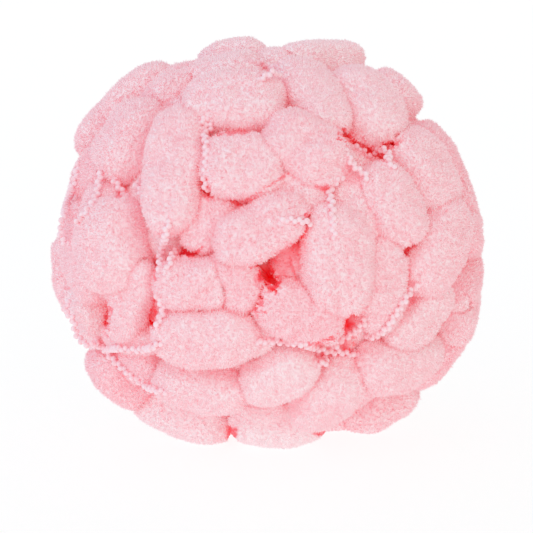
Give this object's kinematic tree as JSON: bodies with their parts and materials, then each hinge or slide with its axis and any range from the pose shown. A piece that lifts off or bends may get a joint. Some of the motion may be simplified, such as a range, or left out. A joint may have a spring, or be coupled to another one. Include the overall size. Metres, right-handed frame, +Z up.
{
  "type": "ball of pom pom yarn",
  "caption": "Round ball of pale pink yarn with plump velvety pompoms on a thin twist, wound by hand, resting on a small flat spot.",
  "frame": {"origin": "on the surface the ball rests on, under the middle of its bounding box", "axes": "+Z up, the side shown in the picture faces -Y, +X to that view's right"},
  "size_m": [0.1724, 0.1599, 0.1597],
  "materials": {
    "pink_yarn": "dense soft pile, matte, pale pink with redder depths"
  },
  "bodies": {
    "root": {"yarn_ball": "pink_yarn"}
  },
  "joints": []
}
